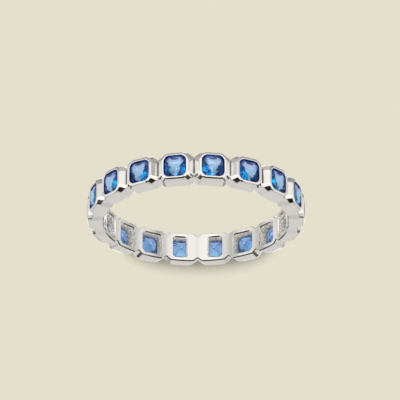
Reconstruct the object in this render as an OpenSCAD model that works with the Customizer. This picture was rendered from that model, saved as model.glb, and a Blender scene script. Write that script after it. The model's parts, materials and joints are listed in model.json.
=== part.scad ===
// Eternity ring: a cast silver band of bezel settings, each with one square blue stone.
// It lies on its side. The finger's axis is Z, the band stands from z = 0 to z = band_w,
// and the bare plate inside the band is at +Y. All sizes are in millimetres.

/* [Ring] */
// Inside diameter of the band, which sets the finger size
finger_d = 17.3; // [16.4:0.1:18.4]
// Width of the band along the finger
band_w = 2.92; // [2.76:0.02:3.3]
// Height of a setting's rim over the finger hole
setting_h = 1.51; // [1.4:0.01:1.8]
// Settings round the ring, each with its stone
stone_count = 18; // [16:2:20]
// Small bevel where the finger hole meets the band's edges
edge_break = 0.1; // [0.05:0.01:0.16]

/* [Settings] */
// Side of a rim's square outline, over the metal
rim_size = 2.53; // [2.46:0.01:2.62]
// Corner cut off the rim's outline
rim_corner = 0.44; // [0.36:0.01:0.52]
// Height over the finger hole where the upright edge faces start to lean in to the rim
shoulder_h = 1.06; // [0.95:0.01:1.15]
// Lean of the walls of the groove between two rims
groove_lean = 35; // [30:1:42]
// Lean of the facet at each corner of a setting, under the rim
corner_lean = 32; // [28:1:38]

/* [Notches] */
// Depth of the notch between two settings, from the band's edge at the finger hole
notch_depth = 0.31; // [0.22:0.01:0.42]
// Slope of a notch's two sides
notch_slope = 35; // [30:1:42]
// Slope of a notch's bottom, deeper towards the outside
notch_fall = 11; // [6:1:15]

/* [Windows] */
// Width of the window behind each stone, round the band
window_w = 2.08; // [1.9:0.01:2.12]
// Height of the window, along the finger
window_h = 2; // [1.88:0.01:2.06]
// Corner cut off a window
window_corner = 0.28; // [0.2:0.01:0.36]
// Width of the bare plate that the two windows at +Y leave between them
plate_w = 2.08; // [1.9:0.01:2.3]
// Metal left standing on those two windows' other side
plate_window_trim = 0.14; // [0.05:0.01:0.2]

/* [Stones] */
// Side of a stone's square outline
stone_size = 2.28; // [2.2:0.01:2.3]
// Corner cut off a stone
stone_corner = 0.36; // [0.3:0.01:0.44]
// Side of the flat table on top
table_size = 1.36; // [1.2:0.01:1.5]
// Height from the girdle to the table
crown_h = 0.34; // [0.28:0.01:0.4]
// Height of the straight girdle
girdle_h = 0.06; // [0.04:0.01:0.1]
// Depth from the girdle to the point at the back
pavilion_h = 0.92; // [0.84:0.01:0.96]
// Depth of the upper row of the back's facets
upper_pavilion_h = 0.46; // [0.4:0.01:0.52]
// Side of the outline where the two rows of the back's facets meet
pavilion_step = 1.3; // [1.2:0.01:1.4]
// Side of the small flat at the back's point
culet_size = 0.1; // [0.06:0.01:0.2]
// Height of the table over the rim
table_rise = 0.05; // [0.02:0.01:0.1]
// How far the rim's lip reaches over a stone's edge
lip_reach = 0.11; // [0.07:0.01:0.14]
// Gap between a stone and its seat
stone_gap = 0.03; // [0.02:0.005:0.04]

/* [Hidden] */
$fn = 96;
hole_r = finger_d / 2;
rim_r = hole_r + setting_h;
shoulder_r = hole_r + shoulder_h;
step_a = 360 / stone_count;
half_a = step_a / 2;
// The settings run a little into each other, so the casting is one solid
overlap = 0.04;
// Length by which a cutting shape runs past what it cuts
past = 1;

// Height of the groove's bottom in a setting's own frame, where two settings' walls meet
groove_h = (rim_size / 2 + rim_r * tan(groove_lean)) / (tan(half_a) + tan(groove_lean));

// Heights in a stone, from the ring's axis
table_r = rim_r + table_rise;
girdle_top_r = table_r - crown_h;
girdle_r = girdle_top_r - girdle_h;
step_r = girdle_r - upper_pavilion_h;
culet_r = girdle_r - pavilion_h;

// Distance from a square outline's middle to its cut corner, as a share of its half side
function corner_share(side, corner) = (2 - 2 * corner / side) / sqrt(2);

function stone_name(k) = str("stone_", k < 10 ? "0" : "", k);
// Angle of a setting round the ring, counted from -Y
function station_angle(k) = half_a + step_a * (k - 1);

setting_band();
for (k = [1:stone_count]) {
    stone(k);
}

// Turns a setting's own frame, X round the band, Y along the finger and Z outwards, to its place
module at_angle(angle) {
    rotate([0, 0, angle])
        translate([0, 0, band_w / 2])
            rotate([90, 0, 0])
                children();
}

// Flat shape drawn in X and Z, and run along Y both ways
module run_along_y(length) {
    rotate([90, 0, 0])
        linear_extrude(height = length, center = true)
            children();
}

// Outline from left to right, with the corners cut at each side by their own amount
module cut_outline(left, right, height, left_corner, right_corner) {
    y = height / 2;
    polygon([
        [right, y - right_corner], [right - right_corner, y],
        [left + left_corner, y], [left, y - left_corner],
        [left, left_corner - y], [left + left_corner, -y],
        [right - right_corner, -y], [right, right_corner - y],
    ]);
}

// Outline of a stone from the side, or of its seat where gap is over 0.
// share widens it for the corners' facets, and open is the lip's half width over the seat.
module stone_outline(share, gap, open) {
    half = share * stone_size / 2;
    table = share * table_size / 2;
    step = share * pavilion_step / 2;
    culet = share * culet_size / 2;
    slope = crown_h / (half - table);
    right = open == 0
        ? [[culet, culet_r], [step, step_r], [half, girdle_r], [half, girdle_top_r], [table, table_r]]
        : [
            [culet + gap, culet_r - gap],
            [step + gap, step_r - gap],
            [half + gap, girdle_r - gap],
            [half + gap, girdle_top_r + gap],
            [share * open, girdle_top_r + gap + (half + gap - share * open) * slope],
            [share * open, rim_r + past],
        ];
    left = [for (i = [len(right) - 1:-1:0]) [-right[i][0], right[i][1]]];
    polygon(concat(right, left));
}

// The stone's body, or its seat, as what four outlines crossing each other have in common
module stone_body(gap, open) {
    share = corner_share(stone_size, stone_corner);
    intersection() {
        run_along_y(2 * stone_size) stone_outline(1, gap, open);
        rotate([0, 0, 90]) run_along_y(2 * stone_size) stone_outline(1, gap, open);
        rotate([0, 0, 45]) run_along_y(2 * stone_size) stone_outline(share, gap, open);
        rotate([0, 0, 135]) run_along_y(2 * stone_size) stone_outline(share, gap, open);
    }
}

// Facet that cuts a setting's corner, through the rim's cut corner
module corner_cut(quarter) {
    reach = rim_size / 2 * corner_share(rim_size, rim_corner);
    rotate([0, 0, 45 + 90 * quarter])
        translate([reach, 0, rim_r])
            rotate([0, -corner_lean, 0])
                translate([0, -band_w, -2 * band_w])
                    cube([band_w, 2 * band_w, 4 * band_w]);
}

// One setting as a solid block, down past the finger hole's wall
module setting_block() {
    low = hole_r - past;
    side = overlap / cos(half_a);
    // Where the block's side, moved out by the overlap, meets its groove wall
    meet = groove_h - side / (tan(half_a) + tan(groove_lean));
    rim = rim_size / 2;
    difference() {
        intersection() {
            run_along_y(band_w)
                polygon([
                    [rim, rim_r], [meet * tan(half_a) + side, meet], [low * tan(half_a) + side, low],
                    [-low * tan(half_a) - side, low], [-meet * tan(half_a) - side, meet], [-rim, rim_r],
                ]);
            rotate([0, 0, 90])
                run_along_y(2 * band_w)
                    polygon([
                        [rim, rim_r], [band_w / 2, shoulder_r], [band_w / 2, low - past],
                        [-band_w / 2, low - past], [-band_w / 2, shoulder_r], [-rim, rim_r],
                    ]);
        }
        for (quarter = [0:3]) corner_cut(quarter);
    }
}

// Notch between two settings, at the upper edge of the band
module notch_cut() {
    run = band_w / 2;
    rise = run * tan(notch_slope);
    translate([0, band_w / 2 - notch_depth, hole_r])
        rotate([notch_fall, 0, 0])
            translate([0, 0, -2 * past])
                linear_extrude(height = setting_h + 4 * past)
                    polygon([[0, 0], [run, rise], [-run, rise]]);
}

// Window behind a stone
module window_cut() {
    low = hole_r - past;
    translate([0, 0, low])
        linear_extrude(height = girdle_r - low)
            cut_outline(-window_w / 2, window_w / 2, window_h, window_corner, window_corner);
}

// Narrower window beside the bare plate, square at the plate's side, which is at +X
module plate_window_cut() {
    low = hole_r - past;
    plate_x = hole_r * tan(half_a) - plate_w / 2 / cos(half_a);
    translate([0, 0, low])
        linear_extrude(height = girdle_r - low)
            cut_outline(plate_window_trim - window_w / 2, plate_x, window_h, window_corner, 0);
}

// Bevel at one end of the finger hole
module hole_bevel() {
    rotate_extrude()
        polygon([
            [hole_r - past, -past], [hole_r + edge_break + past, -past],
            [hole_r - past, edge_break + past],
        ]);
}

// The cast band with its settings, seats and windows
module setting_band() {
    // The last setting before the bare plate; the next one is its mirror image
    before_plate = stone_count / 2;
    color("silver")
        difference() {
            union() {
                for (k = [1:stone_count]) at_angle(station_angle(k)) setting_block();
            }
            translate([0, 0, -past]) cylinder(h = band_w + 2 * past, r = hole_r);
            hole_bevel();
            translate([0, 0, band_w]) mirror([0, 0, 1]) hole_bevel();
            for (k = [1:stone_count]) {
                at_angle(step_a * k) {
                    notch_cut();
                    mirror([0, 1, 0]) notch_cut();
                }
                at_angle(station_angle(k)) {
                    stone_body(stone_gap, stone_size / 2 - lip_reach);
                    if (k == before_plate) {
                        plate_window_cut();
                    } else if (k == before_plate + 1) {
                        mirror([1, 0, 0]) plate_window_cut();
                    } else {
                        window_cut();
                    }
                }
            }
        }
}

// A cut stone in its setting
module stone(k) {
    color([0.16, 0.42, 0.85])
        at_angle(station_angle(k))
            stone_body(0, 0);
}
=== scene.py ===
"""Looks of an eternity ring: a cast silver band of square rim settings with square blue stones.

The ring lies on its side on a pale floor. The frame gives the band's box and the stones' places,
and everything here is worked out from it. Meshes are modelled in millimetres in a setting's own
frame, X round the band, Y along the finger and Z outwards, and are put in metres at the end.
"""

import json
import logging
import math
from dataclasses import dataclass, field, replace
from enum import Enum, IntEnum

import bmesh
import bpy
from mathutils import Euler, Matrix, Vector


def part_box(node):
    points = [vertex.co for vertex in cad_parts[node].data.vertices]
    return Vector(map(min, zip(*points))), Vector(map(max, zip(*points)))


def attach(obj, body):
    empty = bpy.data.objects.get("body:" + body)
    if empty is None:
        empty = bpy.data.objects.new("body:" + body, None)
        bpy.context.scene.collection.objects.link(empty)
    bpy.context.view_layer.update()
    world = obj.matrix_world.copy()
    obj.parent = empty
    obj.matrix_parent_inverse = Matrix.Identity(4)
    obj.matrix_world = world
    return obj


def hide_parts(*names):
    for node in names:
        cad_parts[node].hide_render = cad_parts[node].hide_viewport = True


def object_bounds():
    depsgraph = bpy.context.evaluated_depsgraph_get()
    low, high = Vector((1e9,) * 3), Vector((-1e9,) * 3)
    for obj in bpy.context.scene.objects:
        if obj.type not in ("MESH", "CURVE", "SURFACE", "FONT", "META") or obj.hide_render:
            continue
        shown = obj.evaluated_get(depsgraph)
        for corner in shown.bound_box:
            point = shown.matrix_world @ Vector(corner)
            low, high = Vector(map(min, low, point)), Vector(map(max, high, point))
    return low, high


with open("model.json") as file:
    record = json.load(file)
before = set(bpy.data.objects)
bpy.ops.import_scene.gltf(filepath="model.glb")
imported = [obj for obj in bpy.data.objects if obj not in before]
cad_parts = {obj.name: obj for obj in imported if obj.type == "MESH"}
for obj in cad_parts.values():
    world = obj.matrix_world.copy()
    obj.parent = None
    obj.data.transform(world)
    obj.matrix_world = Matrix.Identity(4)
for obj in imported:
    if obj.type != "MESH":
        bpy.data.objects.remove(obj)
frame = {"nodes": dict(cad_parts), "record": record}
CAD_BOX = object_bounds()

LOG = logging.getLogger("eternity_ring")
MM = 0.001
# Distances in millimetres within which a point lies on a cut's plane, and two points are one
ON_PLANE = 1e-5
SAME_POINT = 1e-3

Color = tuple[float, float, float]
Draft = bmesh.types.BMesh
Material = bpy.types.Material
Socket = bpy.types.NodeSocket
Value = Socket | Color | float


class Region(IntEnum):
    """What a face of the casting belongs to; the number is kept on the face."""

    RIM = 1
    GROOVE = 2
    CORNER = 3
    SHOULDER = 4
    SIDE = 5
    NOTCH = 6
    BORE = 7
    WINDOW = 8
    SEAT = 9
    LIP = 10
    CHAMFER = 11
    EDGE = 12


class Window(Enum):
    """Form of the window behind a stone: plain, or with the plate at its +X or -X side."""

    PLAIN = "plain"
    PLATE_RIGHT = "plate_right"
    PLATE_LEFT = "plate_left"


@dataclass(frozen=True)
class Outline:
    """Upright outline with cut corners, in millimetres.

    Args:
        left: place of the left side.
        right: place of the right side.
        half_height: half the height.
        left_corner: corner cut at the left side.
        right_corner: corner cut at the right side.
    """

    left: float
    right: float
    half_height: float
    left_corner: float
    right_corner: float

    def corners(self, z: float) -> list[Vector]:
        """Finds the outline's corners.

        Args:
            z: their height.

        Returns:
            Eight corners, counted anticlockwise from the right side's lower one.
        """
        y = self.half_height
        return [
            Vector((self.right, self.right_corner - y, z)),
            Vector((self.right, y - self.right_corner, z)),
            Vector((self.right - self.right_corner, y, z)),
            Vector((self.left + self.left_corner, y, z)),
            Vector((self.left, y - self.left_corner, z)),
            Vector((self.left, self.left_corner - y, z)),
            Vector((self.left + self.left_corner, -y, z)),
            Vector((self.right - self.right_corner, -y, z)),
        ]


@dataclass(frozen=True)
class RingSizes:
    """Sizes that the whole ring shares, in millimetres.

    Args:
        hole_r: radius of the finger hole.
        rim_r: height of the rims over the finger's axis.
        band_w: width of the band along the finger.
        settings: number of settings round the ring.
    """

    hole_r: float
    rim_r: float
    band_w: float
    settings: int

    @property
    def step(self) -> float:
        """Angle from one setting to the next, in radians."""
        return math.tau / self.settings

    def station(self, number: int) -> float:
        """Angle of a setting round the ring, counted from -Y."""
        return self.step * (number - 0.5)

    def place(self, angle: float) -> Matrix:
        """Finds the place of a setting on the ring.

        Args:
            angle: the setting's angle round the ring.

        Returns:
            Matrix to it from the setting's own frame, in millimetres.
        """
        lift = Matrix.Translation((0, 0, self.band_w / 2))
        upright = Matrix.Rotation(math.pi / 2, 4, "X")
        return Matrix.Rotation(angle, 4, "Z") @ lift @ upright


def ring_sizes() -> RingSizes:
    """Reads the shared sizes from the frame: the band's box, the stones and the finger hole's mount.

    Returns:
        The sizes.
    """
    low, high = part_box("setting_band")
    stones = [name for name in frame["nodes"] if name.startswith("stone_")]
    holes = [m for m in frame["record"]["mounts"] if m["name"] == "finger_hole"]
    return RingSizes(
        hole_r=holes[0]["dims"]["r_mm"],
        rim_r=high[0] / MM,
        band_w=(high[2] - low[2]) / MM,
        settings=len(stones),
    )


def link_object(name: str, data: bpy.types.ID) -> bpy.types.Object:
    """Makes an object and puts it in the scene.

    Args:
        name: the object's name.
        data: its mesh, light or camera.

    Returns:
        The object.
    """
    made = bpy.data.objects.new(name, data)
    bpy.context.scene.collection.objects.link(made)
    return made


def finished_mesh(name: str, bm: Draft) -> bpy.types.Mesh:
    """Turns a draft into a mesh, and frees the draft.

    Args:
        name: the mesh's name.
        bm: the draft.

    Returns:
        The mesh.
    """
    mesh = bpy.data.meshes.new(name)
    bm.to_mesh(mesh)
    bm.free()
    return mesh


def of_kind(items: list, kind: type) -> list:
    """Those of an operator's results that are vertices, edges or faces."""
    return [item for item in items if isinstance(item, kind)]


@dataclass
class CastBand:
    """The cast band: settings with rims, grooves, notches, seats, windows and the bare plate.

    Args:
        ring: the sizes that the ring shares.
        rim_side: side of a rim's square outline.
        rim_corner: corner cut off the rim's outline.
        corner_round: depth of the cuts that take off the two corners beside a corner's facet.
        rim_wall: width of the rim's flat top, from its outer edge to the lip.
        shoulder_drop: how far under the rim the upright side faces start.
        groove_lean: lean of the groove's walls, in degrees.
        corner_lean: lean of the facets at a setting's corners, in degrees.
        notch_depth: depth of a notch at the finger hole.
        notch_slope: slope of a notch's sides, in degrees.
        notch_fall: slope of a notch's bottom, in degrees.
        window_w: width of a window round the band.
        window_h: height of a window along the finger.
        window_corner: corner cut off a window.
        plate_w: width of the bare plate.
        plate_trim: metal left at the far side of the windows next to the plate.
        plate_corner: corner of those windows at the plate's side.
        plate_cuts: number of cuts in the far edge of the window's wall at the plate.
        seat_side: side of the seat's square outline, round the stone.
        seat_top_drop: how far under the rim the seat starts.
        seat_low_drop: how far under the rim the seat ends.
        window_top_drop: how far under the rim a window's wall ends.
        plate_top_drops: the same at the plate's side, at its middle and at its ends.
        lip_drop: how far under the rim the lip ends.
        bore_strips: places of the bore's strips, from a setting's middle, as shares of half a setting.
        rim_chamfer: width of the chamfer under a rim.
        edge_break: width of the bevel at the ends of the finger hole.
        window_break: width of the bevel round a window.
        flat_angle: turn between two faces of one region up to which they count as flat, in degrees.
        max_rounding: the widest rounding, which the shares of the others refer to.
        rounding_segments: steps in each rounding.
        rounding: width of the rounding between two regions.
    """

    ring: RingSizes
    rim_side: float = 2.53
    rim_corner: float = 0.44
    corner_round: float = 0.05
    rim_wall: float = 0.225
    shoulder_drop: float = 0.45
    groove_lean: float = 35.0
    corner_lean: float = 32.0
    notch_depth: float = 0.31
    notch_slope: float = 35.0
    notch_fall: float = 11.0
    window_w: float = 2.08
    window_h: float = 2.0
    window_corner: float = 0.28
    plate_w: float = 2.08
    plate_trim: float = 0.14
    plate_corner: float = 0.09
    plate_cuts: int = 3
    seat_side: float = 2.34
    seat_top_drop: float = 0.26
    seat_low_drop: float = 0.38
    window_top_drop: float = 0.48
    plate_top_drops: tuple[float, float] = (1.0, 0.53)
    lip_drop: float = 0.18
    bore_strips: tuple[float, ...] = (0.25, 0.85)
    rim_chamfer: float = 0.1
    edge_break: float = 0.1
    window_break: float = 0.1
    flat_angle: float = 10.0
    max_rounding: float = 0.24
    rounding_segments: int = 3
    rounding: dict[tuple[Region, Region], float] = field(
        default_factory=lambda: {
            (Region.RIM, Region.GROOVE): 0.07,
            (Region.RIM, Region.CHAMFER): 0.05,
            (Region.RIM, Region.LIP): 0.05,
            (Region.CHAMFER, Region.SHOULDER): 0.02,
            (Region.CHAMFER, Region.CORNER): 0.05,
            (Region.CHAMFER, Region.CHAMFER): 0.04,
            (Region.CHAMFER, Region.GROOVE): 0.07,
            (Region.GROOVE, Region.CORNER): 0.08,
            (Region.GROOVE, Region.GROOVE): 0.1,
            (Region.CORNER, Region.SHOULDER): 0.05,
            (Region.CORNER, Region.CORNER): 0.09,
            (Region.CORNER, Region.NOTCH): 0.03,
            (Region.SHOULDER, Region.SIDE): 0.03,
            (Region.SIDE, Region.NOTCH): 0.03,
            (Region.SIDE, Region.EDGE): 0.02,
            (Region.BORE, Region.EDGE): 0.02,
            (Region.NOTCH, Region.EDGE): 0.02,
            (Region.LIP, Region.LIP): 0.24,
        }
    )

    @property
    def half_step(self) -> float:
        """Half the angle of one setting, in radians."""
        return self.ring.step / 2

    @property
    def base(self) -> float:
        """Height of the bore's wall in the plane between two settings."""
        return self.ring.hole_r * math.cos(self.half_step)

    def window(self, form: Window) -> Outline:
        """Finds the outline of a setting's window at the bore.

        Args:
            form: which window the setting has.

        Returns:
            The outline, with places counted from the setting's middle.
        """
        half = self.window_w / 2
        height = self.window_h / 2
        if form is Window.PLAIN:
            return Outline(-half, half, height, self.window_corner, self.window_corner)
        plate_side = self.ring.hole_r * math.tan(self.half_step)
        plate_side -= self.plate_w / 2 / math.cos(self.half_step)
        far_side = half - self.plate_trim
        if form is Window.PLATE_RIGHT:
            return Outline(-far_side, plate_side, height, self.window_corner, self.plate_corner)
        return Outline(-plate_side, far_side, height, self.plate_corner, self.window_corner)

    def wall_drop(self, co: Vector, form: Window) -> float:
        """Finds how far under the rim a window's wall ends over one of its points.

        Args:
            co: the point on the window's outline.
            form: which window the setting has.

        Returns:
            That drop.
        """
        window = self.window(form)
        plate_side = {Window.PLATE_RIGHT: window.right, Window.PLATE_LEFT: window.left}.get(form)
        if plate_side is None or abs(co.x - plate_side) > SAME_POINT:
            return self.window_top_drop
        middle, end = self.plate_top_drops
        return middle if abs(co.y) < window.half_height / 2 else end

    def split_plate_side(self, bm: Draft, edges: list[bmesh.types.BMEdge], form: Window) -> None:
        """Splits the far edge of the wall at the plate, which has to pass the stone's point.

        Args:
            bm: the setting's mesh.
            edges: the far edges of the window's walls.
            form: which window the setting has.
        """
        def at_plate(edge: bmesh.types.BMEdge) -> bool:
            """Whether both ends of an edge lie at the plate."""
            return all(self.wall_drop(vert.co, form) != self.window_top_drop for vert in edge.verts)

        long_edges = [edge for edge in edges if at_plate(edge)]
        if long_edges:
            bmesh.ops.subdivide_edges(bm, edges=long_edges, cuts=self.plate_cuts)

    def cut(self, bm: Draft, co: Vector, normal: Vector, region: Region | None) -> None:
        """Cuts away what lies on a plane's outer side, and closes the cut with a face.

        Args:
            bm: the setting's mesh.
            co: a point on the plane.
            normal: the plane's normal, towards what is cut away.
            region: what the new face belongs to, or None to leave the cut open.
        """
        mark = bm.faces.layers.int["region"]
        geom = bm.verts[:] + bm.edges[:] + bm.faces[:]
        made = bmesh.ops.bisect_plane(
            bm, geom=geom, dist=ON_PLANE, plane_co=co, plane_no=normal, clear_outer=True
        )
        if region is None:
            return
        rims = of_kind(made["geom_cut"], bmesh.types.BMEdge)
        for face in bmesh.ops.contextual_create(bm, geom=rims)["faces"]:
            face[mark] = region

    def notch_normal(self, side: int, end: int) -> Vector:
        """Finds the normal of a notch's slope beside a setting, towards the notch.

        Args:
            side: 1 for the notch at +X, -1 for the one at -X.
            end: 1 for the notch at +Y, -1 for the one at -Y.

        Returns:
            The normal.
        """
        slope = math.radians(self.notch_slope)
        fall = math.radians(self.notch_fall)
        flat = Vector((side * math.sin(slope), math.cos(slope), 0))
        leaned = Matrix.Rotation(fall, 3, "X") @ flat
        leaned.y *= end
        return Matrix.Rotation(side * self.half_step, 3, "Y") @ leaned

    def corner_planes(self) -> list[tuple[float, float, float]]:
        """Finds the planes that cut one corner of a setting.

        Returns:
            Direction round the setting's middle, distance at the rim and lean of each plane. The first
            is the flat facet, and the others take off the two corners that it leaves.
        """
        rim = self.rim_side / 2
        facet = math.radians(self.corner_lean)
        diagonal = math.sqrt(2) * rim - self.rim_corner / math.sqrt(2)
        planes = [(math.pi / 4, diagonal, facet)]
        between = math.pi / 8
        far = rim * math.cos(between)
        near = (rim - self.rim_corner) * math.sin(between)
        reach = far + near - self.corner_round
        shoulder = math.atan((self.ring.band_w / 2 - rim) / self.shoulder_drop)
        for turn, other in ((between, math.radians(self.groove_lean)), (3 * between, shoulder)):
            planes.append((turn, reach, (facet + other) / 2))
        return planes

    def solid_block(self) -> Draft:
        """Makes one setting as a closed block, from its base up to the rim.

        Returns:
            The block, in the setting's own frame.
        """
        ring = self.ring
        bm = bmesh.new()
        mark = bm.faces.layers.int.new("region")
        depth = ring.rim_r - self.base
        span = 2 * ring.rim_r * math.tan(self.half_step)
        bmesh.ops.create_cube(bm, size=1)
        bmesh.ops.scale(bm, vec=(span, ring.band_w, depth), verts=bm.verts)
        bmesh.ops.translate(bm, vec=(0, 0, self.base + depth / 2), verts=bm.verts)
        for face in bm.faces:
            if abs(face.normal.y) > 0.5:
                face[mark] = Region.SIDE
            elif face.normal.z > 0.5:
                face[mark] = Region.RIM
            elif face.normal.z < -0.5:
                face[mark] = Region.BORE
        rim = self.rim_side / 2
        lean = math.radians(self.groove_lean)
        shoulder = Vector((0, self.shoulder_drop, ring.band_w / 2 - rim)).normalized()
        for side in (1, -1):
            groove = Vector((side * math.cos(lean), 0, math.sin(lean)))
            self.cut(bm, Vector((side * rim, 0, ring.rim_r)), groove, Region.GROOVE)
            slope = Vector((0, side * shoulder.y, shoulder.z))
            self.cut(bm, Vector((0, side * rim, ring.rim_r)), slope, Region.SHOULDER)
        for turn, reach, tilt in self.corner_planes():
            for side in (1, -1):
                for end in (1, -1):
                    out = Vector((side * math.cos(turn), end * math.sin(turn), 0))
                    corner = out * math.cos(tilt) + Vector((0, 0, math.sin(tilt)))
                    self.cut(bm, out * reach + Vector((0, 0, ring.rim_r)), corner, Region.CORNER)
        for side in (1, -1):
            border = Vector((side * math.sin(self.half_step), 0, math.cos(self.half_step)))
            for end in (1, -1):
                low = border * ring.hole_r
                low.y = end * (ring.band_w / 2 - self.notch_depth)
                self.cut(bm, low, self.notch_normal(side, end), Region.NOTCH)
        for side in (1, -1):
            normal = Vector((side * math.cos(self.half_step), 0, -math.sin(self.half_step)))
            self.cut(bm, Vector((0, 0, 0)), normal, None)
        return bm

    def cut_window(self, bm: Draft, window: Outline) -> list[bmesh.types.BMEdge]:
        """Cuts the bore's face along a window's outline and opens it.

        Args:
            bm: the setting's mesh.
            window: the window's outline.

        Returns:
            The edges round the opening.
        """
        mark = bm.faces.layers.int["region"]
        points = window.corners(self.base)
        lines = [(a, b - a) for a, b in zip(points, points[1:] + points[:1])]
        straight = [line for line in lines if min(abs(line[1].x), abs(line[1].y)) < ON_PLANE]
        slanted = [line for line in lines if line not in straight]
        half = self.ring.hole_r * math.sin(self.half_step)
        places = [side * share * half for share in self.bore_strips for side in (1, -1)] + [0.0]
        straight += [(Vector((place, 0, self.base)), Vector((0, 1, 0))) for place in places]
        for co, along in straight + slanted:
            bore = [face for face in bm.faces if face[mark] == Region.BORE]
            if (co, along) in slanted:
                bore = [f for f in bore if window.left < f.calc_center_median().x < window.right]
            edges = {edge for face in bore for edge in face.edges}
            verts = {vert for face in bore for vert in face.verts}
            normal = Vector((along.y, -along.x, 0)).normalized()
            cut = bore + list(edges) + list(verts)
            bmesh.ops.bisect_plane(bm, geom=cut, dist=ON_PLANE, plane_co=co, plane_no=normal)
        inside = []
        for face in bm.faces:
            if face[mark] != Region.BORE:
                continue
            middle = face.calc_center_median()
            signs = [(b - a).cross(middle - a).z > 0 for a, b in zip(points, points[1:] + points[:1])]
            if all(signs):
                inside.append(face)
        around = {edge for face in inside for edge in face.edges}
        border = [edge for edge in around if sum(f in inside for f in edge.link_faces) == 1]
        bmesh.ops.delete(bm, geom=inside, context="FACES")
        return [edge for edge in border if edge.is_valid]

    def round_bore(self, bm: Draft) -> None:
        """Moves the base's points out onto the finger hole's round wall.

        Args:
            bm: the setting's mesh.
        """
        for vert in bm.verts:
            if abs(vert.co.z - self.base) < SAME_POINT:
                vert.co.z = math.sqrt(self.ring.hole_r**2 - vert.co.x**2)

    def open_setting(self, bm: Draft, form: Window) -> None:
        """Cuts the rim's mouth, the lip and the seat, and joins them to the window.

        Args:
            bm: the setting's mesh.
            form: which window the setting has.
        """
        mark = bm.faces.layers.int["region"]
        top = self.ring.rim_r
        border = self.cut_window(bm, self.window(form))
        self.round_bore(bm)
        wall = bmesh.ops.extrude_edge_only(bm, edges=border)["geom"]
        for face in of_kind(wall, bmesh.types.BMFace):
            face[mark] = Region.WINDOW
        far_edges = [edge for edge in of_kind(wall, bmesh.types.BMEdge) if edge.is_boundary]
        self.split_plate_side(bm, far_edges, form)
        walls = [face for face in bm.faces if face[mark] == Region.WINDOW]
        upper = {vert for face in walls for vert in face.verts if vert.is_boundary}
        for vert in upper:
            vert.co.z = top - self.wall_drop(vert.co, form)
        rim = next(face for face in bm.faces if face[mark] == Region.RIM)
        bmesh.ops.inset_region(bm, faces=[rim], thickness=self.rim_wall, use_even_offset=True)
        for face in bm.faces:
            if face[mark] == 0:
                face[mark] = Region.RIM
        mouth = max((face for face in bm.faces if face[mark] == Region.RIM), key=self.mouth_rank)
        ring_edges = list(mouth.edges)
        bmesh.ops.delete(bm, geom=[mouth], context="FACES_ONLY")
        steps = (
            (self.rim_side / 2 - self.rim_wall, self.lip_drop, Region.LIP),
            (self.seat_side / 2, self.seat_top_drop, Region.SEAT),
            (self.seat_side / 2, self.seat_low_drop, Region.SEAT),
        )
        for half, depth, region in steps:
            made = bmesh.ops.extrude_edge_only(bm, edges=ring_edges)["geom"]
            for face in of_kind(made, bmesh.types.BMFace):
                face[mark] = region
            verts = of_kind(made, bmesh.types.BMVert)
            ring_edges = [edge for edge in of_kind(made, bmesh.types.BMEdge) if edge.is_boundary]
            now = max(vert.co.x for vert in verts)
            bmesh.ops.scale(bm, vec=(half / now, half / now, 1), verts=verts)
            for vert in verts:
                vert.co.z = top - depth
        window_edges = [e for e in bm.edges if e.is_boundary and all(v in upper for v in e.verts)]
        bridged = bmesh.ops.bridge_loops(bm, edges=ring_edges + window_edges)
        for face in bridged["faces"]:
            face[mark] = Region.SEAT

    @staticmethod
    def mouth_rank(face: bmesh.types.BMFace) -> float:
        """Number that is greatest for the wide face in the setting's middle."""
        return -face.calc_center_median().xy.length + face.calc_area()

    def sector(self, form: Window) -> bpy.types.Mesh:
        """Makes one whole setting as an open mesh that meets its neighbours' edges.

        Args:
            form: which window the setting has.

        Returns:
            The mesh, in the setting's own frame.
        """
        bm = self.solid_block()
        self.open_setting(bm, form)
        return finished_mesh(f"setting_{form.value}", bm)

    @staticmethod
    def chamfer(bm: Draft, first: Region, others: set[Region], width: float, region: Region) -> None:
        """Cuts a flat chamfer along each edge between a region and some others.

        Args:
            bm: the welded casting.
            first: the region on one side of the edges.
            others: the regions on their other side.
            width: how far the chamfer reaches into each face.
            region: what the chamfer's faces belong to.
        """
        mark = bm.faces.layers.int["region"]
        pairs = [{first, other} for other in others]
        edges = [e for e in bm.edges if {Region(f[mark]) for f in e.link_faces} in pairs]
        made = bmesh.ops.bevel(
            bm, geom=edges, offset=width, offset_type="OFFSET", segments=1, profile=0.5,
            affect="EDGES", clamp_overlap=False, material=-1,
        )
        for face in made["faces"]:
            face[mark] = region

    def whole_band(self) -> Draft:
        """Sets the settings round the ring and welds them into one closed casting.

        Returns:
            The casting, with its chamfers but without its roundings.
        """
        sectors = {form: self.sector(form) for form in Window}
        before_plate = self.ring.settings // 2
        forms = {before_plate: Window.PLATE_RIGHT, before_plate + 1: Window.PLATE_LEFT}
        bm = bmesh.new()
        for number in range(1, self.ring.settings + 1):
            start = len(bm.verts)
            bm.from_mesh(sectors[forms.get(number, Window.PLAIN)])
            bm.verts.ensure_lookup_table()
            placed = self.ring.place(self.ring.station(number))
            bmesh.ops.transform(bm, matrix=placed, verts=bm.verts[start:])
        bmesh.ops.remove_doubles(bm, verts=bm.verts, dist=SAME_POINT)
        bmesh.ops.recalc_face_normals(bm, faces=bm.faces)
        under_rim = {Region.SHOULDER, Region.CORNER}
        self.chamfer(bm, Region.RIM, under_rim, self.rim_chamfer, Region.CHAMFER)
        hole_ends = {Region.SIDE, Region.NOTCH}
        self.chamfer(bm, Region.BORE, hole_ends, self.edge_break, Region.EDGE)
        self.chamfer(bm, Region.BORE, {Region.WINDOW}, self.window_break, Region.EDGE)
        for mesh in sectors.values():
            bpy.data.meshes.remove(mesh)
        return bm

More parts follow.
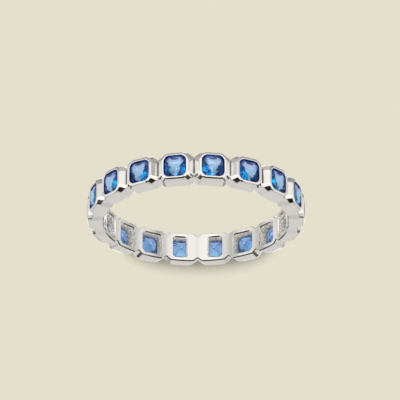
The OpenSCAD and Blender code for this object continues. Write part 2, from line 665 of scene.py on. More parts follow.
    def weigh_edges(self, bm: Draft) -> None:
        """Gives each edge its share of the widest rounding, and keeps the windows' bevels flat.

        Args:
            bm: the welded casting.
        """
        mark = bm.faces.layers.int["region"]
        weight = bm.edges.layers.float.new("bevel_weight_edge")
        widths = {frozenset(pair): width for pair, width in self.rounding.items()}
        for edge in bm.edges:
            if len(edge.link_faces) != 2:
                continue
            first, second = (Region(face[mark]) for face in edge.link_faces)
            edge.smooth = {first, second} != {Region.WINDOW, Region.EDGE}
            if first == second and edge.calc_face_angle() < math.radians(self.flat_angle):
                continue
            edge[weight] = widths.get(frozenset((first, second)), 0) / self.max_rounding

    def build(self, name: str, finishes: dict[Region, Material]) -> bpy.types.Object:
        """Builds the whole casting as one object.

        Args:
            name: the object's name.
            finishes: the material of each region.

        Returns:
            The finished object, in metres.
        """
        bm = self.whole_band()
        self.weigh_edges(bm)
        mark = bm.faces.layers.int["region"]
        materials = list(dict.fromkeys(finishes.values()))
        for face in bm.faces:
            face.material_index = materials.index(finishes[Region(face[mark])])
            face.smooth = True
        draft_mesh = finished_mesh("band_draft", bm)
        for material in materials:
            draft_mesh.materials.append(material)
        draft = link_object("band_draft", draft_mesh)
        bevel = draft.modifiers.new("rounding", "BEVEL")
        bevel.limit_method = "WEIGHT"
        bevel.width = self.max_rounding
        bevel.segments = self.rounding_segments
        bevel.use_clamp_overlap = False
        weighted = draft.modifiers.new("flat_faces", "WEIGHTED_NORMAL")
        weighted.keep_sharp = True
        graph = bpy.context.evaluated_depsgraph_get()
        mesh = bpy.data.meshes.new_from_object(draft.evaluated_get(graph))
        mesh.name = name
        mesh.transform(Matrix.Scale(MM, 4))
        bpy.data.objects.remove(draft)
        bpy.data.meshes.remove(draft_mesh)
        return link_object(name, mesh)


class Shader:
    """A node tree with short ways to add and join nodes."""

    NOISE_ROUGHNESS = 0.6

    def __init__(self, tree: bpy.types.NodeTree) -> None:
        """Empties the tree."""
        self.tree = tree
        tree.nodes.clear()

    def add(self, kind: str, **settings: object) -> bpy.types.Node:
        """Adds a node and sets its properties.

        Args:
            kind: the node's type.
            **settings: its properties.

        Returns:
            The node.
        """
        node = self.tree.nodes.new(kind)
        for name, value in settings.items():
            setattr(node, name, value)
        return node

    def join(self, source: Socket, target: Socket) -> None:
        """Links an output to an input."""
        self.tree.links.new(source, target)

    def give(self, value: Value, target: Socket) -> None:
        """Gives an input its value.

        Args:
            value: an output to link it to, a number, or a colour.
            target: the input.
        """
        if isinstance(value, Socket):
            self.join(value, target)
        elif isinstance(value, tuple):
            target.default_value = (*value, 1)
        else:
            target.default_value = value

    def output(self, surface: bpy.types.Node, body: bpy.types.Node | None = None) -> None:
        """Joins shaders to the material's output.

        Args:
            surface: the surface's shader.
            body: the shader of what the surface encloses, if it has one.
        """
        out = self.add("ShaderNodeOutputMaterial")
        self.join(surface.outputs[0], out.inputs["Surface"])
        if body:
            self.join(body.outputs[0], out.inputs["Volume"])

    def math(self, operation: str, *values: Value) -> Socket:
        """Adds a math node.

        Args:
            operation: what it works out.
            *values: the sockets or numbers that it works on.

        Returns:
            Its output.
        """
        node = self.add("ShaderNodeMath", operation=operation)
        for socket, value in zip(node.inputs, values):
            self.give(value, socket)
        return node.outputs[0]

    def mix(self, share: Socket, first: Value, second: Value, kind: str = "RGBA") -> Socket:
        """Mixes two colours or numbers.

        Args:
            share: the second one's share.
            first: what is there at share 0.
            second: what is there at share 1.
            kind: RGBA for colours, FLOAT for numbers.

        Returns:
            The mix.
        """
        node = self.add("ShaderNodeMix", data_type=kind)
        self.join(share, node.inputs["Factor"])
        self.give(first, node.inputs["A"])
        self.give(second, node.inputs["B"])
        return node.outputs["Result"]

    def ramp(self, value: Socket, low: float, high: float,
             to_low: float = 0.0, to_high: float = 1.0) -> Socket:
        """Maps a value smoothly from one range to another.

        Args:
            value: the value.
            low: where the first range starts.
            high: where it ends.
            to_low: what low becomes.
            to_high: what high becomes.

        Returns:
            The mapped value, which stays in the second range.
        """
        node = self.add("ShaderNodeMapRange", interpolation_type="SMOOTHSTEP")
        self.join(value, node.inputs["Value"])
        node.inputs["From Min"].default_value = low
        node.inputs["From Max"].default_value = high
        node.inputs["To Min"].default_value = to_low
        node.inputs["To Max"].default_value = to_high
        return node.outputs["Result"]

    def axes(self, kind: str = "Object") -> tuple[Socket, ...]:
        """Splits coordinates into X, Y and Z.

        Args:
            kind: which coordinates, by default the object's own.

        Returns:
            The three of them.
        """
        place = self.add("ShaderNodeTexCoord")
        parts = self.add("ShaderNodeSeparateXYZ")
        self.join(place.outputs[kind], parts.inputs[0])
        return tuple(parts.outputs)

    def turn(self, x: Socket, y: Socket, full: float) -> Socket:
        """Finds the turn round the finger's axis, from 0 at -Y towards +X.

        Args:
            x: the place's X.
            y: the place's Y.
            full: the number that stands for a full turn.

        Returns:
            The turn, from minus half of full to half of full.
        """
        angle = self.math("ARCTAN2", x, self.math("MULTIPLY", y, -1.0))
        return self.math("MULTIPLY", angle, full / math.tau)

    def noise(self, size: float, detail: float = 3.0) -> Socket:
        """Makes noise over the object's own coordinates.

        Args:
            size: size of its features, in metres.
            detail: number of finer layers in it.

        Returns:
            The noise, around 0.5.
        """
        place = self.add("ShaderNodeTexCoord")
        node = self.add("ShaderNodeTexNoise")
        node.inputs["Scale"].default_value = 1 / size
        node.inputs["Detail"].default_value = detail
        node.inputs["Roughness"].default_value = self.NOISE_ROUGHNESS
        self.join(place.outputs["Object"], node.inputs["Vector"])
        return node.outputs["Fac"]

    def wander(self, size: float, reach: float, common: float = 0.2) -> Socket:
        """Makes noise that goes evenly both ways from 0.

        Args:
            size: size of its features, in metres.
            reach: how far it goes.
            common: how far from its middle the plain noise has to be for that.

        Returns:
            The noise, from -reach to reach.
        """
        return self.ramp(self.noise(size), 0.5 - common, 0.5 + common, -reach, reach)

    def cells(self, size: float) -> Socket:
        """Makes many angular cells, with a chance value in each.

        Args:
            size: size of the cells, in metres.

        Returns:
            The chance value, from 0 to 1.
        """
        place = self.add("ShaderNodeTexCoord")
        node = self.add("ShaderNodeTexVoronoi")
        node.inputs["Scale"].default_value = 1 / size
        self.join(place.outputs["Object"], node.inputs["Vector"])
        parts = self.add("ShaderNodeSeparateColor")
        self.join(node.outputs["Color"], parts.inputs[0])
        return parts.outputs[0]

    def bump(self, height: Socket, strength: float, depth: float) -> Socket:
        """Turns a height into a bumped normal.

        Args:
            height: the height, from 0 to 1.
            strength: how strongly it shows.
            depth: what height 1 stands for, in metres.

        Returns:
            The normal.
        """
        node = self.add("ShaderNodeBump")
        node.inputs["Strength"].default_value = strength
        node.inputs["Distance"].default_value = depth
        self.join(height, node.inputs["Height"])
        return node.outputs["Normal"]


class Finish:
    """A finish, whose kinds paint it in their own way."""

    def paint(self, shader: Shader) -> None:
        """Adds the finish's nodes to a material's empty node tree."""
        raise NotImplementedError

    def material(self, name: str) -> Material:
        """Builds the finish's material.

        Args:
            name: the material's name.

        Returns:
            The material.
        """
        made = bpy.data.materials.new(name)
        made.use_nodes = True
        self.paint(Shader(made.node_tree))
        return made


@dataclass(frozen=True)
class PolishedSilver(Finish):
    """Mirror-polished silver with faint scratches and a slow change in its polish.

    Args:
        color: the metal's colour.
        smooth: roughness where the polish is best.
        worn: roughness where it is worn most.
        wear: values of the patches' noise between which the one turns to the other.
        patch: size of those patches, in metres.
        scratch_size: size of the scratches, in metres.
        scratch_depth: their depth, in metres.
        scratch_strength: how strongly they show.
    """

    color: Color = (0.965, 0.955, 0.935)
    smooth: float = 0.05
    worn: float = 0.14
    wear: tuple[float, float] = (0.35, 0.7)
    patch: float = 0.0015
    scratch_size: float = 0.00025
    scratch_depth: float = 0.0000012
    scratch_strength: float = 0.35

    def scratches(self, shader: Shader) -> Socket:
        """Normal of the scratched surface."""
        fine = shader.noise(self.scratch_size, detail=5)
        return shader.bump(fine, self.scratch_strength, self.scratch_depth)

    def paint(self, shader: Shader) -> None:
        """Adds the finish's nodes.

        Args:
            shader: the material's empty node tree.
        """
        surface = shader.add("ShaderNodeBsdfPrincipled")
        surface.inputs["Base Color"].default_value = (*self.color, 1)
        surface.inputs["Metallic"].default_value = 1
        rough = shader.ramp(shader.noise(self.patch), *self.wear, self.smooth, self.worn)
        shader.join(rough, surface.inputs["Roughness"])
        shader.join(self.scratches(shader), surface.inputs["Normal"])
        shader.output(surface)


@dataclass(frozen=True)
class GrooveSilver(Finish):
    """Polished silver of the grooves, with a dark, rougher line of painted shade at their bottom.

    Args:
        settings: number of settings round the ring, with a groove between each two.
        unshaded: the polished silver beside the line of painted shade.
        dark: colour of the painted shade in the line.
        line: half the line's width, as a share of a setting's width.
        wave: length of the waves in the line's edges, in metres.
        dull: roughness in the line.
    """

    settings: int
    unshaded: PolishedSilver = PolishedSilver()
    dark: Color = (0.2, 0.185, 0.165)
    line: float = 0.014
    wave: float = 0.0008
    dull: float = 0.35

    def paint(self, shader: Shader) -> None:
        """Adds the finish's nodes.

        Args:
            shader: the material's empty node tree.
        """
        x, y, _ = shader.axes()
        # Painted shade: the base colour darkens, and the roughness rises, towards a line along each
        # groove's bottom.
        away = shader.math("PINGPONG", shader.turn(x, y, self.settings), 0.5)
        uneven = shader.wander(self.wave, self.line / 3)
        unshaded = shader.ramp(shader.math("ADD", away, uneven), 0, self.line * 3)
        surface = shader.add("ShaderNodeBsdfPrincipled")
        surface.inputs["Metallic"].default_value = 1
        shader.join(shader.mix(unshaded, self.dark, self.unshaded.color), surface.inputs["Base Color"])
        shader.join(shader.ramp(unshaded, 0, 1, self.dull, self.unshaded.smooth), surface.inputs["Roughness"])
        shader.join(self.unshaded.scratches(shader), surface.inputs["Normal"])
        shader.output(surface)


@dataclass(frozen=True)
class CastSilver(Finish):
    """Silver as it comes from the mould, grainy and a little dark, inside the windows.

    Args:
        light: colour of the grains.
        dark: colour between them.
        grain: size of the grains, in metres.
        grain_depth: their depth, in metres.
        grain_strength: how strongly they show.
        border: values of the grains' noise between which dark turns to light.
        roughness: roughness of the surface.
        shine: how strongly it shines, where 0.5 is plain.
    """

    light: Color = (1.0, 0.94, 0.84)
    dark: Color = (0.42, 0.37, 0.3)
    grain: float = 0.00013
    grain_depth: float = 0.00005
    grain_strength: float = 0.8
    border: tuple[float, float] = (0.38, 0.58)
    roughness: float = 0.6
    shine: float = 0.8

    def paint(self, shader: Shader) -> None:
        """Adds the finish's nodes.

        Args:
            shader: the material's empty node tree.
        """
        surface = shader.add("ShaderNodeBsdfPrincipled")
        surface.inputs["Specular IOR Level"].default_value = self.shine
        surface.inputs["Roughness"].default_value = self.roughness
        grain = shader.noise(self.grain, detail=4)
        color = shader.mix(shader.ramp(grain, *self.border), self.dark, self.light)
        shader.join(color, surface.inputs["Base Color"])
        normal = shader.bump(grain, self.grain_strength, self.grain_depth)
        shader.join(normal, surface.inputs["Normal"])
        shader.output(surface)


@dataclass(frozen=True)
class StonePlace:
    """Where a point lies in its stone, as sockets.

    Places are shares of half the stone's side.

    Args:
        shader: the material's node tree.
        across: the place across the band, without its sign.
        along: the place along the finger.
        out: the height over the finger's axis in the setting's own frame, in metres.
        around: the share of the setting's angle, from its end nearer to the ring's -Y side.
        wander: how far the borders between the colours wander there.
    """

    shader: Shader
    across: Socket
    along: Socket
    out: Socket
    around: Socket
    wander: Socket

    def border(self, value: Socket, start: float, full: float) -> Socket:
        """Share of a zone that grows from one value to another over a wandering border."""
        return self.shader.ramp(self.shader.math("ADD", value, self.wander), start, full)


@dataclass(frozen=True)
class BlueStone(Finish):
    """Blue stone with painted light and shade: pale in the middle as a painted reflection, and deep
    blue at its edges as painted shade.

    Places in a stone are shares of half its side, counted across the band and along the finger.

    Args:
        ring: the sizes that the ring shares.
        side: side of the stone's outline, in millimetres.
        pale: colour of the wedge of painted pale reflection in the middle, which narrows towards +Z.
        clear: colour beside the wedge.
        night: colour of the patches of painted shade there.
        patch: size of those patches, in metres.
        patch_chance: how much chance there is in them.
        patch_border: values between which the clear colour turns to theirs.
        dusk: colour of the painted lavender haze on the stone's -Z side.
        dusk_border: places along the finger where dusk starts and is full.
        haze: share of dusk that lies over the wedge there.
        shade: colour of the small lens of painted shade in the wedge.
        lens: the lens's place along the finger, half its length and half its width.
        lens_border: distances from its middle where it starts and is full.
        behind: colour of the stone's back.
        girdle_drop: how far under the rim the back starts, in millimetres.
        girdle_fade: height in which it becomes full, in millimetres.
        deep: colour of the painted shade at the edges.
        edges: places where the edges' colour starts and is full.
        back_edge: share of the edges' colour that the back has.
        corner_pull: distance at a corner, as a share of the sum of its two places.
        wedge: half the wedge's width at its broad end, where it ends there, and its length.
        wedge_even: length over which the wedge keeps that width.
        wedge_border: distances inside its outline where it starts and is full.
        uneven: how far the borders between the colours wander.
        wave: length of the waves in them, in metres.
        ripple: length of the ripples on those waves, in metres.
        tint: colour that the body leaves after one length of light's way.
        density: number of those lengths in a metre.
        inner_glow: faint painted glow on the surface, which keeps its dark facets blue.
        wedge_glow: the same in the wedge.
        dusk_glow: the same in the wedge's part on the -Z side.
        back_glow: the same at the back.
        back_rough: roughness of the back's outer side, which is polished less than the table.
        mirror: share of the light that its facets mirror.
        ior: refractive index.
    """

    ring: RingSizes
    side: float = 2.28
    pale: Color = (0.56, 0.63, 0.64)
    clear: Color = (0.0, 0.62, 1.0)
    night: Color = (0.0, 0.01, 0.05)
    patch: float = 0.0005
    patch_chance: float = 0.5
    patch_border: tuple[float, float] = (0.65, 0.85)
    dusk: Color = (0.42, 0.4, 0.62)
    dusk_border: tuple[float, float] = (0.0, -0.45)
    haze: float = 0.45
    shade: Color = (0.06, 0.06, 0.1)
    lens: tuple[float, float, float] = (-0.58, 0.11, 0.38)
    lens_border: tuple[float, float] = (1.1, 0.6)
    behind: Color = (0.37, 0.49, 0.66)
    girdle_drop: float = 0.35
    girdle_fade: float = 0.05
    deep: Color = (0.001, 0.003, 0.05)
    edges: tuple[float, float] = (0.7, 0.95)
    back_edge: float = 0.35
    corner_pull: float = 0.66
    wedge: tuple[float, float, float] = (0.66, -0.72, 1.9)
    wedge_even: float = 0.3
    wedge_border: tuple[float, float] = (-0.04, 0.06)
    uneven: float = 0.12
    wave: float = 0.0005
    ripple: float = 0.0002
    tint: Color = (0.34, 0.7, 0.96)
    density: float = 700.0
    inner_glow: Color = (0.0005, 0.0015, 0.008)
    wedge_glow: Color = (0.15, 0.235, 0.31)
    dusk_glow: Color = (0.2, 0.215, 0.35)
    back_glow: Color = (0.02, 0.04, 0.07)
    back_rough: float = 0.1
    mirror: Color = (0.35, 0.4, 0.55)
    ior: float = 1.72

    def place(self, shader: Shader) -> StonePlace:
        """Finds where a point lies in its stone.

        Args:
            shader: the material's node tree.

        Returns:
            The place.
        """
        x, y, z = shader.axes()
        steps = shader.turn(x, y, self.ring.settings)
        share = shader.math("SUBTRACT", 0.5, shader.math("PINGPONG", steps, 0.5))
        angle = shader.math("MULTIPLY", share, self.ring.step)
        squares = shader.math("ADD", shader.math("MULTIPLY", x, x), shader.math("MULTIPLY", y, y))
        away = shader.math("SQRT", squares)
        across = shader.math("MULTIPLY", shader.math("SINE", angle), away)
        along = shader.math("SUBTRACT", z, self.ring.band_w / 2 * MM)
        scale = 1 / (self.side / 2 * MM)
        coarse = shader.wander(self.wave, self.uneven)
        fine = shader.wander(self.ripple, self.uneven / 2, common=0.15)
        return StonePlace(
            shader=shader,
            across=shader.math("MULTIPLY", across, scale),
            along=shader.math("MULTIPLY", along, scale),
            out=shader.math("MULTIPLY", shader.math("COSINE", angle), away),
            around=shader.math("FRACT", shader.math("ABSOLUTE", steps)),
            wander=shader.math("ADD", coarse, fine),
        )

    def wedge_share(self, place: StonePlace) -> Socket:
        """Finds the wedge of painted pale reflection in the middle, whose long sides lean towards each
        other.

        Args:
            place: the place in the stone.

        Returns:
            The wedge's share there.
        """
        shader = place.shader
        width, broad_end, length = self.wedge
        past = shader.math("SUBTRACT", place.along, broad_end + self.wedge_even)
        down = shader.math("MAXIMUM", past, 0.0)
        narrowed = shader.math("MULTIPLY", down, -width / (length - self.wedge_even))
        room = shader.math("SUBTRACT", shader.math("ADD", narrowed, width), place.across)
        room = shader.math("MINIMUM", room, shader.math("SUBTRACT", place.along, broad_end))
        return place.border(room, *self.wedge_border)

    def lens_share(self, place: StonePlace) -> Socket:
        """Finds the small lens of painted shade in the wedge.

        Args:
            place: the place in the stone.

        Returns:
            The lens's share there.
        """
        shader = place.shader
        middle, half_length, half_width = self.lens
        high = shader.math("DIVIDE", shader.math("SUBTRACT", place.along, middle), half_length)
        aside = shader.math("DIVIDE", place.across, half_width)
        high = shader.math("MULTIPLY", high, high)
        aside = shader.math("MULTIPLY", aside, aside)
        return place.border(shader.math("ADD", high, aside), *self.lens_border)

    def edge_share(self, place: StonePlace, back: Socket) -> Socket:
        """Finds the painted shade at the stone's edges, with more of it at its corners and less at its
        back.

        Args:
            place: the place in the stone.
            back: the back's share there.

        Returns:
            The edges' share there.
        """
        shader = place.shader
        height = shader.math("ABSOLUTE", place.along)
        corner = shader.math("MULTIPLY", shader.math("ADD", place.across, height), self.corner_pull)
        away = shader.math("MAXIMUM", shader.math("MAXIMUM", place.across, height), corner)
        edge = place.border(away, *self.edges)
        return shader.math("MULTIPLY", edge, shader.ramp(back, 0, 1, 1, self.back_edge))

    def dark_share(self, place: StonePlace) -> Socket:
        """Finds the patches of painted shade, which lie more at the setting's end away from -Y.

        Args:
            place: the place in the stone.

        Returns:
            The patches' share there.
        """
        shader = place.shader
        chance = shader.math("MULTIPLY", shader.cells(self.patch), self.patch_chance)
        return shader.ramp(shader.math("ADD", place.around, chance), *self.patch_border)

    def paint(self, shader: Shader) -> None:
        """Adds the finish's nodes.

        Args:
            shader: the material's empty node tree.
        """
        surface = shader.add("ShaderNodeBsdfPrincipled")
        place = self.place(shader)
        # Painted light: a lavender haze on the stone's -Z side, part of which lies over the wedge.
        low_side = place.border(place.along, *self.dusk_border)
        haze = shader.math("MULTIPLY", low_side, self.haze)
        # Painted reflection: a pale wedge in the middle of the stone.
        wedge = self.wedge_share(place)
        # Painted shade: a small dark lens in the wedge.
        lens = self.lens_share(place)
        girdle = self.ring.rim_r - self.girdle_drop
        back = shader.ramp(place.out, girdle * MM, (girdle - self.girdle_fade) * MM)
        # Painted shade: the stone darkens to deep navy towards its edges and corners.
        edge = self.edge_share(place, back)
        # Painted shade: dark patches over the stone's own blue, more at one end of each setting.
        color = shader.mix(self.dark_share(place), self.clear, self.night)
        for share, part in (
            (low_side, self.dusk), (wedge, self.pale), (haze, self.dusk),
            (lens, self.shade), (back, self.behind), (edge, self.deep),
        ):
            color = shader.mix(share, color, part)
        shader.join(color, surface.inputs["Base Color"])
        # Painted glow: emission in the wedge, the haze, the back and the rest of the stone, though it
        # is no lamp.
        glow = shader.mix(low_side, self.wedge_glow, self.dusk_glow)
        glow = shader.mix(wedge, self.inner_glow, glow)
        for share, part in ((lens, self.inner_glow), (back, self.back_glow), (edge, self.inner_glow)):
            glow = shader.mix(share, glow, part)
        shader.join(glow, surface.inputs["Emission Color"])
        surface.inputs["Emission Strength"].default_value = 1
        surface.inputs["Transmission Weight"].default_value = 1
        inner = shader.add("ShaderNodeNewGeometry").outputs["Backfacing"]
        outer_back = shader.math("MULTIPLY", back, shader.math("SUBTRACT", 1.0, inner))
        rough = shader.math("MULTIPLY", outer_back, self.back_rough)
        shader.join(rough, surface.inputs["Roughness"])
        surface.inputs["Specular Tint"].default_value = (*self.mirror, 1)
        surface.inputs["IOR"].default_value = self.ior
        body = shader.add("ShaderNodeVolumeAbsorption")
        body.inputs["Color"].default_value = (*self.tint, 1)
        body.inputs["Density"].default_value = self.density
        shader.output(surface, body)


@dataclass(frozen=True)
class Flag:
    """A black flag in the light tent with soft edges, in degrees.

    Args:
        azimuth: its middle, 0 at the camera's side of the ring and 90 at +X.
        elevation: its middle over the ring's plane.
        half_width: half its width where it has faded to half.
        half_height: half its height where it has faded to half.
        fade: width of its soft edge.
        share: the share of the light that it takes away.
        paired: whether it has a mirror image on the ring's other side.
    """

    azimuth: float
    elevation: float
    half_width: float
    half_height: float
    fade: float
    share: float
    paired: bool = False

    def both(self) -> tuple["Flag", ...]:
        """The flag and, if it is paired, its mirror image before it."""
        return (replace(self, azimuth=-self.azimuth), self) if self.paired else (self,)


@dataclass(frozen=True)
class LightTent:
    """A white tent round the ring with black flags, as the world's light.

    Args:
        color: the tent's colour.
        low: light at each azimuth, in degrees, below the ring's plane.
        middle: the same, just above the plane.
        high: the same, well over it.
        bands: elevations between which low turns to middle, and middle to high.
        top: share of the light that is left straight above.
        top_start: elevation where the light starts to fall to that.
        fill: how much brighter the tent lights dull surfaces than it shows in mirrors, from below
            and from above.
        fill_band: elevations between which the one turns to the other.
        flags: the black flags.
    """

    color: Color = (1.0, 0.98, 0.95)
    low: tuple[tuple[float, float], ...] = (
        (-180, 1.5), (-163, 1.2), (-150, 0.55), (-130, 0.45), (-115, 0.72), (-100, 0.62),
        (-89, 0.42), (-75, 0.8), (-62, 0.75), (-48, 0.42), (-36, 0.8), (-20, 1.08), (0, 0.82),
        (20, 1.08), (33, 0.8), (45, 0.5), (55, 0.8), (70, 0.85), (88, 0.45), (103, 0.8),
        (118, 0.75), (131, 0.5), (150, 0.55), (163, 1.2), (180, 1.5),
    )
    middle: tuple[tuple[float, float], ...] = (
        (-180, 0.62), (-120, 0.7), (-60, 1.05), (60, 1.05), (120, 0.7), (180, 0.62),
    )
    high: tuple[tuple[float, float], ...] = ((-180, 0.66), (-90, 0.62), (90, 0.62), (180, 0.66))
    bands: tuple[float, float, float, float] = (-14.0, -4.0, 14.0, 26.0)
    top: float = 0.86
    top_start: float = 55.0
    fill: tuple[float, float] = (1.9, 2.7)
    fill_band: tuple[float, float] = (-20.0, 50.0)
    flags: tuple[Flag, ...] = (
        Flag(-4, 47.5, 54, 23.5, 6, 0.97),
        Flag(68, 48.5, 18, 12.5, 4, 0.94, paired=True),
        Flag(94, 43, 12, 8, 4, 0.94, paired=True),
        Flag(77, 33, 7, 4, 3, 0.92, paired=True),
        Flag(158, 3, 9, 8, 5, 0.5, paired=True),
        Flag(111, 36, 12, 8, 4, 0.85, paired=True),
        Flag(131, 21, 11, 10, 4, 0.88, paired=True),
        Flag(0, -90, 180, 56, 8, 0.45),
    )

    @staticmethod
    def profile(shader: Shader, azimuth: Socket, points: tuple[tuple[float, float], ...]) -> Socket:
        """Turns a list of azimuths and lights into a socket.

        Args:
            shader: the world's node tree.
            azimuth: the azimuth, in degrees.
            points: the azimuths and the light at each.

        Returns:
            The light at the azimuth.
        """
        white = 2.0
        ramp = shader.add("ShaderNodeValToRGB")
        stops = ramp.color_ramp.elements
        while len(stops) < len(points):
            stops.new(0.5)
        for stop, (degrees, light) in zip(stops, points):
            stop.position = degrees / 360 + 0.5
            stop.color = (light / white, light / white, light / white, 1)
        shader.join(shader.math("MULTIPLY_ADD", azimuth, 1 / 360, 0.5), ramp.inputs[0])
        return shader.math("MULTIPLY", ramp.outputs[0], white)

    @staticmethod
    def flagged(shader: Shader, flag: Flag, azimuth: Socket, elevation: Socket) -> Socket:
        """Finds what a flag leaves of the light.

        Args:
            shader: the world's node tree.
            flag: the flag.
            azimuth: the azimuth, in degrees.
            elevation: the elevation, in degrees.

        Returns:
            The share that it leaves in that direction.
        """
        half = flag.fade / 2
        shares = []
        for value, middle, reach in (
            (azimuth, flag.azimuth, flag.half_width),
            (elevation, flag.elevation, flag.half_height),
        ):
            away = shader.math("ABSOLUTE", shader.math("SUBTRACT", value, middle))
            shares.append(shader.ramp(away, reach - half, reach + half, 1, 0))
        return shader.math("MULTIPLY_ADD", shader.math("MULTIPLY", *shares), -flag.share, 1.0)

    def build(self) -> None:
        """Sets the scene's world."""
        world = bpy.data.worlds.new("light_tent")
        world.use_nodes = True
        shader = Shader(world.node_tree)
        x, y, z = shader.axes("Generated")
        azimuth = shader.turn(x, y, 360)
        elevation = shader.math("MULTIPLY", shader.math("ARCSINE", z), math.degrees(1))
        low, middle, high = (
            self.profile(shader, azimuth, points) for points in (self.low, self.middle, self.high)
        )
        first, second, third, fourth = self.bands
        light = shader.mix(shader.ramp(elevation, first, second), low, middle, kind="FLOAT")
        light = shader.mix(shader.ramp(elevation, third, fourth), light, high, kind="FLOAT")
        above = shader.ramp(elevation, self.top_start, 90, 1, self.top)
        light = shader.math("MULTIPLY", light, above)
        dull = shader.add("ShaderNodeLightPath").outputs["Is Diffuse Ray"]
        for flag in (one for flag in self.flags for one in flag.both()):
            left = self.flagged(shader, flag, azimuth, elevation)
            light = shader.math("MULTIPLY", light, shader.math("MAXIMUM", left, dull))
        fill = shader.math("SUBTRACT", shader.ramp(elevation, *self.fill_band, *self.fill), 1.0)
        fill = shader.math("ADD", shader.math("MULTIPLY", fill, dull), 1.0)
        light = shader.math("MULTIPLY", light, fill)
        tent = shader.add("ShaderNodeBackground")
        tent.inputs["Color"].default_value = (*self.color, 1)
        shader.join(light, tent.inputs["Strength"])
        out = shader.add("ShaderNodeOutputWorld")
        shader.join(tent.outputs[0], out.inputs["Surface"])
        bpy.context.scene.world = world


@dataclass(frozen=True)
class EvenPaint(Finish):
    """Pale paint that glows a little by itself, so that it stays even, and takes the rest from light.

    Args:
        color: the paint's colour where nothing shades it.
        own_light: share of its colour that it has in full shadow.
        albedo: how strongly it takes light.
    """

    color: Color = (0.763, 0.722, 0.591)
    own_light: float = 0.38
    albedo: float = 0.02

    def paint(self, shader: Shader) -> None:
        """Adds the finish's nodes.

        Args:
            shader: the material's empty node tree.
        """
        glow = shader.add("ShaderNodeEmission")
        glow.inputs["Color"].default_value = (*self.color, 1)
        glow.inputs["Strength"].default_value = self.own_light
        matt = shader.add("ShaderNodeBsdfDiffuse")
        matt.inputs["Color"].default_value = (*(self.albedo * part for part in self.color), 1)
        both = shader.add("ShaderNodeAddShader")
        shader.join(glow.outputs[0], both.inputs[0])
        shader.join(matt.outputs[0], both.inputs[1])
        shader.output(both)


@dataclass(frozen=True)
class PaleFloor:
    """The plain pale floor, with a soft shadow behind the ring from one low light in front.

    Args:
        finish: the floor's finish.
        half_side: half the floor's side, in metres.
        elevation: height of the low light over the floor, in degrees.
        softness: the angle that the low light fills, in degrees.
        spread: half the angle of the band's part that shades the floor, in degrees.
        shade_inset: how far inside the rims the wall stands that shades it, in millimetres.
        shade_steps: number of flat parts in that wall.
        shade_power: how late and steeply the wall falls towards its ends.
    """

    finish: EvenPaint = EvenPaint()
    half_side: float = 0.6
    elevation: float = 20.5
    softness: float = 10.0
    spread: float = 64.0
    shade_inset: float = 0.5
    shade_steps: int = 36
    shade_power: int = 6

    def shade(self, ring: RingSizes) -> bpy.types.Object:
        """Makes the unseen wall that shades the floor, where the band's far part stands.

        It is as high as the band in its middle, and falls to the floor at its ends.

        Args:
            ring: the sizes that the ring shares.

        Returns:
            The wall.
        """
        bm = bmesh.new()
        angle = math.radians(self.spread)
        start = Vector((0, ring.rim_r - self.shade_inset, 0))
        start.rotate(Matrix.Rotation(-angle, 3, "Z"))
        bmesh.ops.spin(
            bm, geom=[bm.verts.new(start)], axis=(0, 0, 1), cent=(0, 0, 0), angle=2 * angle,
            steps=self.shade_steps,
        )
        made = bmesh.ops.extrude_edge_only(bm, edges=bm.edges)["geom"]
        for vert in of_kind(made, bmesh.types.BMVert):
            turn = math.atan2(vert.co.x, vert.co.y)
            vert.co.z = ring.band_w * (1 - (turn / angle) ** self.shade_power)
        bmesh.ops.scale(bm, vec=(MM, MM, MM), verts=bm.verts)
        wall = link_object("floor_shade", finished_mesh("floor_shade", bm))
        wall.visible_camera = False
        self.hide_from_ring(wall)
        return wall

    @staticmethod
    def hide_from_ring(item: bpy.types.Object) -> None:
        """Keeps an object out of what the ring mirrors, and its light off the ring.

        Args:
            item: the object.
        """
        item.visible_glossy = False
        item.visible_transmission = False
        item.visible_diffuse = False

    def build(self, ring: RingSizes) -> None:
        """Makes the floor just under the ring, and the low light that shades it.

        Args:
            ring: the sizes that the ring shares.
        """
        bm = bmesh.new()
        bmesh.ops.create_grid(bm, x_segments=1, y_segments=1, size=self.half_side)
        mesh = finished_mesh("floor", bm)
        mesh.materials.append(self.finish.material("pale_floor"))
        floor = link_object("floor", mesh)
        self.hide_from_ring(floor)
        height = math.radians(self.elevation)
        data = bpy.data.lights.new("low_light", "SUN")
        data.angle = math.radians(self.softness)
        lit = (1 - self.finish.own_light) / self.finish.albedo
        data.energy = lit * math.pi / math.sin(height)
        light = link_object("low_light", data)
        light.rotation_euler = (math.pi / 2 - height, 0, 0)
        receivers = bpy.data.collections.new("lit_floor")
        receivers.objects.link(floor)
        blockers = bpy.data.collections.new("floor_shades")
        blockers.objects.link(self.shade(ring))
        light.light_linking.receiver_collection = receivers
        light.light_linking.blocker_collection = blockers


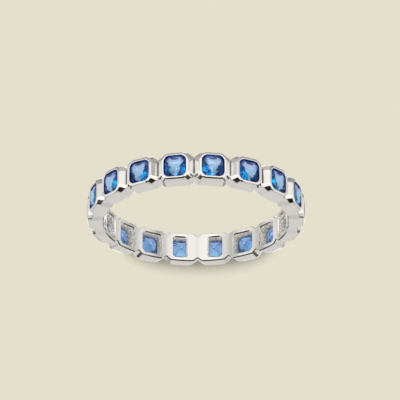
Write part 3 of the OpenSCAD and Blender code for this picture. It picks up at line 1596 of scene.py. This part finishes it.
@dataclass(frozen=True)
class PhotoCamera:
    """The camera at the photograph's angle, which sees the ring upside down.

    Args:
        azimuth: turn round the finger's axis, in degrees.
        elevation: height over the ring's plane, in degrees.
        distance: from the ring's middle, in metres.
        roll: turn of the picture, in degrees.
        focal_pixels: the lens's length in the photograph's pixels.
        middle: where the ring's middle lies from the picture's middle, in pixels right and down.
        picture_side: the photograph's side, in pixels.
        sensor: side of the camera's sensor, in millimetres.
        clip: where the camera's view starts and ends, as shares of the distance.
    """

    azimuth: float = -0.95
    elevation: float = 24.436
    distance: float = 0.31678
    roll: float = 179.94
    focal_pixels: float = 3372.4
    middle: tuple[float, float] = (-4.03, 10.28)
    picture_side: int = 400
    sensor: float = 36.0
    clip: tuple[float, float] = (0.01, 20.0)

    def build(self, target: Vector) -> None:
        """Sets the scene's camera.

        Args:
            target: the ring's middle.
        """
        data = bpy.data.cameras.new("photo_camera")
        data.sensor_width = self.sensor
        data.lens = self.sensor * self.focal_pixels / self.picture_side
        data.clip_start, data.clip_end = (share * self.distance for share in self.clip)
        camera = link_object("photo_camera", data)
        tilt = math.radians(90 - self.elevation)
        turn = Euler((tilt, 0, math.radians(self.azimuth)), "XYZ").to_matrix()
        turn = turn @ Matrix.Rotation(math.radians(self.roll), 3, "Z")
        scale = self.distance / self.focal_pixels
        right, down = self.middle
        aside = turn @ Vector((-right * scale, down * scale, self.distance))
        camera.matrix_world = Matrix.Translation(target + aside) @ turn.to_4x4()
        bpy.context.scene.camera = camera


def main() -> None:
    """Builds the ring's looks in order."""
    logging.basicConfig(level=logging.INFO, format="%(name)s: %(message)s")
    bpy.context.scene.view_settings.view_transform = "Standard"
    sizes = ring_sizes()
    silver = PolishedSilver().material("polished_silver")
    cast = CastSilver().material("cast_silver")
    finishes = {region: silver for region in Region}
    finishes[Region.WINDOW] = cast
    finishes[Region.SEAT] = cast
    finishes[Region.GROOVE] = GrooveSilver(sizes.settings).material("groove_silver")
    band = CastBand(sizes).build("cast_band", finishes)
    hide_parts("setting_band")
    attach(band, "root")
    LOG.info("cast_band: %d faces", len(band.data.polygons))
    blue = BlueStone(sizes).material("blue_stone")
    for name, node in frame["nodes"].items():
        if name.startswith("stone_"):
            node.data.materials.clear()
            node.data.materials.append(blue)
            LOG.info("%s: finished", name)
    PaleFloor().build(sizes)
    LightTent().build()
    low, high = CAD_BOX
    PhotoCamera().build(Vector((0, 0, (low.z + high.z) / 2)))


if __name__ == "__main__":
    main()
